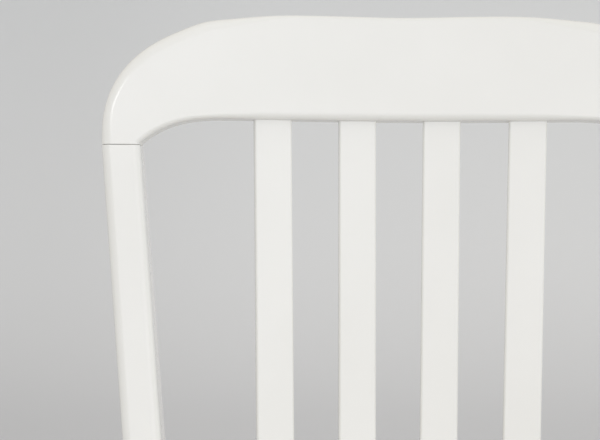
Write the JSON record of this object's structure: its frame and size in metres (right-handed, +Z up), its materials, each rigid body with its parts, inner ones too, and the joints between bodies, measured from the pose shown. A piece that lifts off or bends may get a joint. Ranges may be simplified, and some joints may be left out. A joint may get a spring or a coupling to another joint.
{
  "type": "dining chair",
  "caption": "White lacquered wooden dining chair with a bent, round-shouldered crest rail, vertical back slats and a padded, cloth-covered seat.",
  "frame": {"origin": "on the floor, under the middle of the chair", "axes": "+Z up, +X to the right hand of a viewer who faces the chair, the front of the chair faces -Y"},
  "size_m": [0.432, 0.5202, 0.9126],
  "materials": {
    "white_lacquer": "satin white lacquer over hardwood",
    "raw_beech": "raw, sanded",
    "plywood": "raw plywood",
    "foam": "open-cell foam",
    "cover_cloth": "plain woven cloth",
    "dust_cloth": "non-woven cloth",
    "zinc_steel": "zinc plated",
    "glide_plastic": "matte"
  },
  "bodies": {
    "root": {"crest_rail": "white_lacquer", "rear_leg_left": "white_lacquer", "rear_leg_right": "white_lacquer", "slat_1": "white_lacquer", "slat_2": "white_lacquer", "slat_3": "white_lacquer", "slat_4": "white_lacquer", "lower_back_rail": "white_lacquer", "crest_dowels": "raw_beech", "rear_seat_rail": "white_lacquer", "front_seat_rail": "white_lacquer", "side_seat_rail_left": "white_lacquer", "side_seat_rail_right": "white_lacquer", "front_leg_left": "white_lacquer", "front_leg_right": "white_lacquer", "side_stretcher_left": "white_lacquer", "side_stretcher_right": "white_lacquer", "cross_stretcher": "white_lacquer", "corner_block_front_left": "raw_beech", "corner_block_front_right": "raw_beech", "corner_block_rear_left": "raw_beech", "corner_block_rear_right": "raw_beech", "corner_block_screws": "zinc_steel", "seat_screws": "zinc_steel", "seat_board": "plywood", "seat_foam": "foam", "seat_cover": "cover_cloth", "seat_dust_cover": "dust_cloth", "glide_front_left": "glide_plastic", "glide_front_right": "glide_plastic", "glide_rear_left": "glide_plastic", "glide_rear_right": "glide_plastic", "glide_nails": "zinc_steel"}
  },
  "joints": []
}
